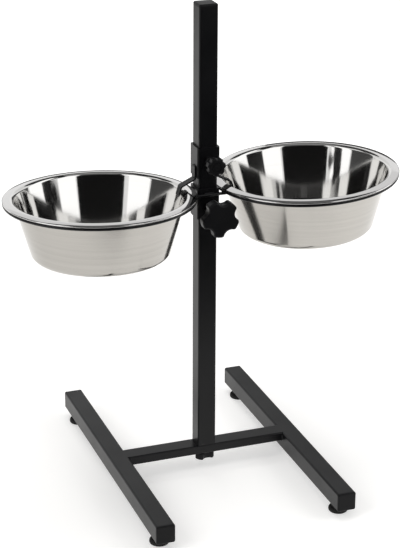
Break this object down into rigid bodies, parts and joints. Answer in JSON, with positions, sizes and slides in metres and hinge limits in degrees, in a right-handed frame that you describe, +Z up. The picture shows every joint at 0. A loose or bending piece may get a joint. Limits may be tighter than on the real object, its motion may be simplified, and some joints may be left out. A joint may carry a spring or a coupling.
{
  "type": "raised pet bowl stand",
  "caption": "Raised feeding stand: H base and square post with a height-adjustable holder whose wire rings carry steel bowls, star knobs and a hold-down clamp.",
  "frame": {"origin": "on the floor, under the middle of the base", "axes": "+Z up the post, +X along the crossbar from the left bowl to the right bowl, +Y away from the front"},
  "size_m": [0.5259, 0.414, 0.6435],
  "materials": {
    "frame_paint": "satin black powder coat",
    "plastic_black": "moulded black",
    "foot_rubber": "matte black",
    "zinc_steel": "bright zinc",
    "bowl_steel": "polished inside, satin outside"
  },
  "bodies": {
    "base": {"left_rail": "frame_paint", "right_rail": "frame_paint", "crossbar": "frame_paint", "post": "frame_paint", "post_cap": "plastic_black", "post_plug": "plastic_black", "rail_cap_front_left": "plastic_black", "rail_cap_front_right": "plastic_black", "rail_cap_rear_left": "plastic_black", "rail_cap_rear_right": "plastic_black", "foot_front_left": "foot_rubber", "foot_front_right": "foot_rubber", "foot_rear_left": "foot_rubber", "foot_rear_right": "foot_rubber", "foot_screws": "zinc_steel"},
    "base_screw": {"base_stud": "zinc_steel"},
    "base_knob": {"base_knob": "plastic_black"},
    "holder": {"holder_sleeve": "frame_paint", "holder_nut": "frame_paint", "bar_front": "frame_paint", "bar_rear": "frame_paint", "ring_left": "frame_paint", "ring_right": "frame_paint"},
    "holder_screw": {"holder_stud": "zinc_steel"},
    "holder_knob": {"holder_knob": "plastic_black"},
    "clamp": {"clamp_sleeve": "frame_paint", "clamp_nut": "frame_paint", "strip_left": "frame_paint", "strip_right": "frame_paint"},
    "clamp_screw": {"clamp_stud": "zinc_steel"},
    "clamp_knob": {"clamp_knob": "plastic_black"},
    "bowl_left": {"bowl_left": "bowl_steel"},
    "bowl_right": {"bowl_right": "bowl_steel"}
  },
  "joints": [
    {"name": "holder_height", "type": "slide", "parent": "base", "child": "holder", "axis": [0, 0, 1], "range_m": [-0.27, 0.115]},
    {"name": "clamp_height", "type": "slide", "parent": "holder", "child": "clamp", "axis": [0, 0, 1], "range_m": [0, 0.06]},
    {"name": "holder_knob_turn", "type": "hinge", "parent": "holder_screw", "child": "holder_knob", "pos_m": [0, -0.069, 0.379], "axis": [0, -1, 0], "range_deg": [0, 1082]},
    {"name": "holder_screw_travel", "type": "slide", "parent": "holder", "child": "holder_screw", "axis": [0, -1, 0], "range_m": [0, 0.00375]},
    {"name": "clamp_knob_turn", "type": "hinge", "parent": "clamp_screw", "child": "clamp_knob", "pos_m": [0, -0.051, 0.4425], "axis": [0, -1, 0], "range_deg": [0, 1082]},
    {"name": "clamp_screw_travel", "type": "slide", "parent": "clamp", "child": "clamp_screw", "axis": [0, -1, 0], "range_m": [0, 0.003]},
    {"name": "base_knob_turn", "type": "hinge", "parent": "base_screw", "child": "base_knob", "pos_m": [0, -0.006, 0.0147], "axis": [0, 0, -1], "range_deg": [0, 1082]},
    {"name": "base_screw_travel", "type": "slide", "parent": "base", "child": "base_screw", "axis": [0, 0, -1], "range_m": [0, 0.00375]},
    {"name": "bowl_left_turn", "type": "hinge", "parent": "holder", "child": "bowl_left", "pos_m": [-0.1407, -0.006, 0.401], "axis": [0.007, 0.0436, 0.999], "continuous": true},
    {"name": "bowl_right_turn", "type": "hinge", "parent": "holder", "child": "bowl_right", "pos_m": [0.1394, -0.006, 0.40496], "axis": [-0.0401, 0.0017, 0.9992], "continuous": true}
  ],
  "couplings": [
    {"joint": "holder_knob_turn", "follows": "holder_screw_travel", "rad_per_m": 5026.5},
    {"joint": "clamp_knob_turn", "follows": "clamp_screw_travel", "rad_per_m": 6283.2},
    {"joint": "base_knob_turn", "follows": "base_screw_travel", "rad_per_m": 5026.5}
  ]
}
